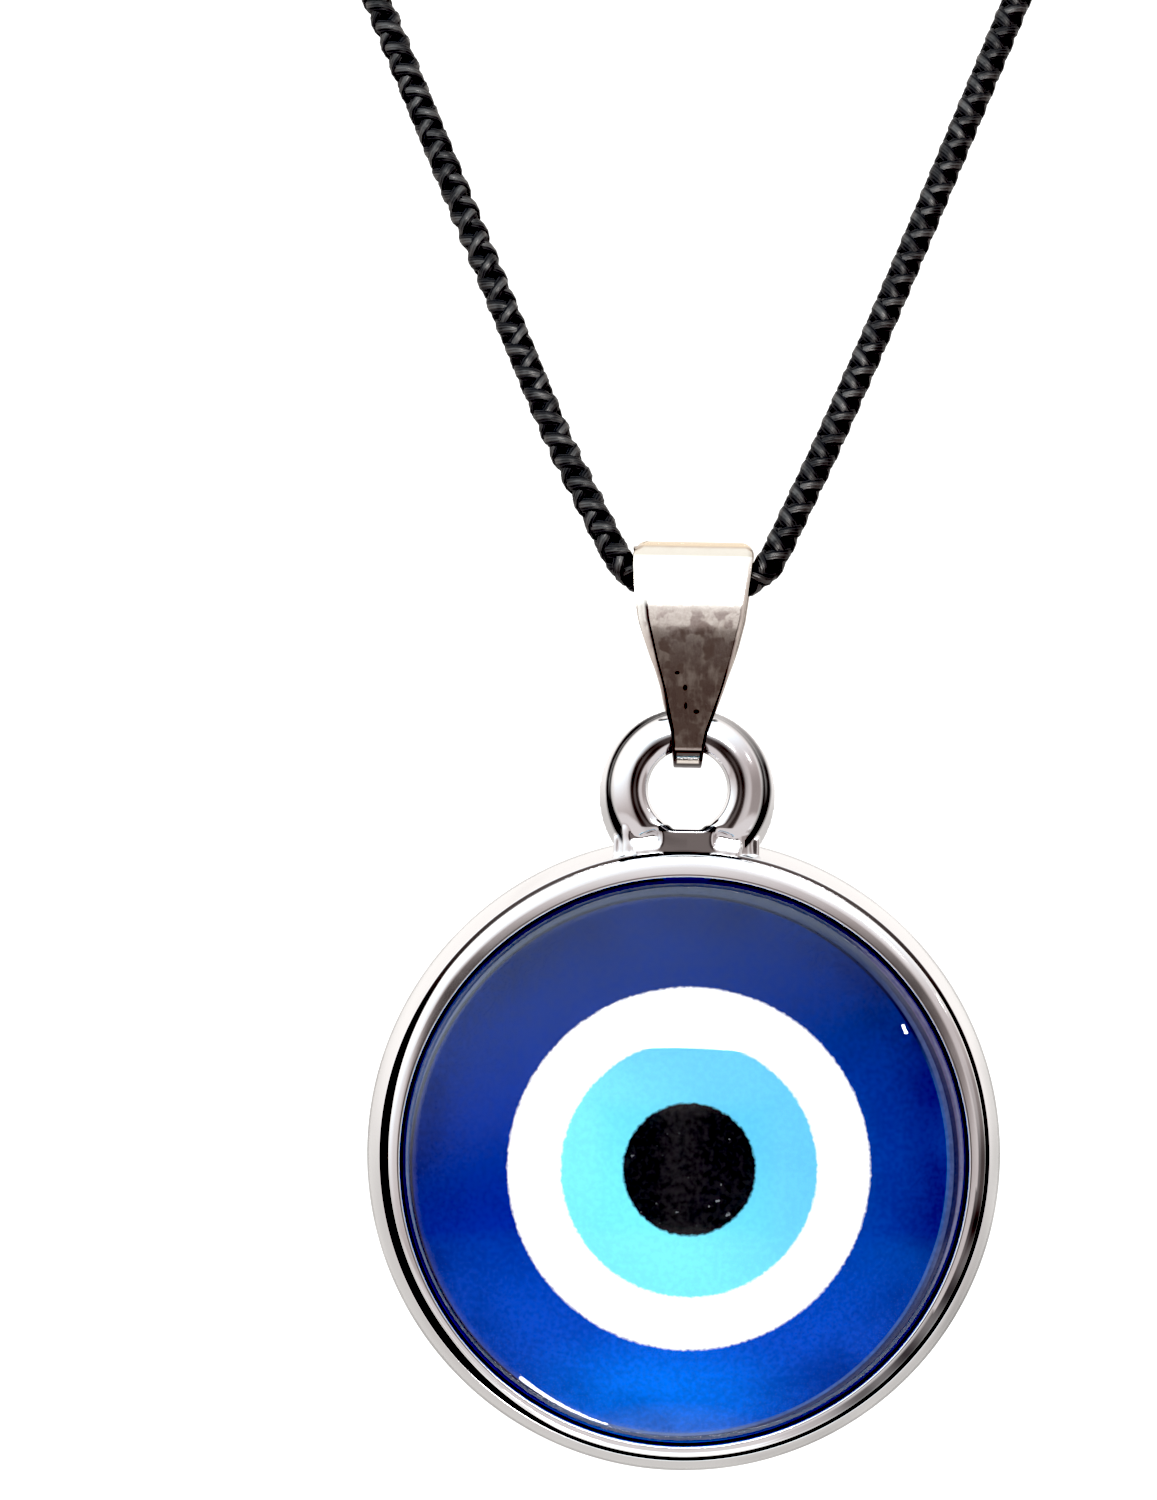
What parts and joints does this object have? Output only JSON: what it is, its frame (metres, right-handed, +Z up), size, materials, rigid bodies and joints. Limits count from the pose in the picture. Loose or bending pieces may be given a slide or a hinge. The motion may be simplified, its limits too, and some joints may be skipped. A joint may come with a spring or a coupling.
{
  "type": "evil eye pendant",
  "caption": "Round evil eye pendant, a domed glass over a printed eye in a cast metal tray, hung by a tapered strip bail from a black braided neck cord.",
  "frame": {"origin": "at the nape of the neck, on the side of the barrel clasp that lies on the skin, at the clasp's middle", "axes": "+Z is up, the eye looks along -Y, and +X is to the right of someone who looks at the eye"},
  "size_m": [0.1154, 0.1223, 0.1918],
  "materials": {
    "cord": "black round-braided nylon",
    "clasp_metal": "polished plate",
    "bail_metal": "silvery plate with a dull tarnish on the flat",
    "tray_metal": "bright plate on a casting",
    "glass": "polished dome",
    "print_blue": "printed",
    "print_white": "printed",
    "print_light_blue": "printed",
    "print_black": "printed"
  },
  "bodies": {
    "cord_loop": {"cord": "cord", "clasp": "clasp_metal"},
    "bail": {"bail": "bail_metal"},
    "pendant": {"tray": "tray_metal", "glass": "glass", "eye_field": "print_blue", "eye_white": "print_white", "eye_iris": "print_light_blue", "eye_pupil": "print_black"}
  },
  "joints": [
    {"name": "bail_swing", "type": "hinge", "parent": "cord_loop", "child": "bail", "pos_m": [0, -0.113, -0.15], "axis": [1, 0, 0], "range_deg": [-90, 70]},
    {"name": "pendant_swing", "type": "hinge", "parent": "bail", "child": "pendant", "pos_m": [0, -0.113, -0.1567], "axis": [1, 0, 0], "range_deg": [-90, 90]}
  ]
}
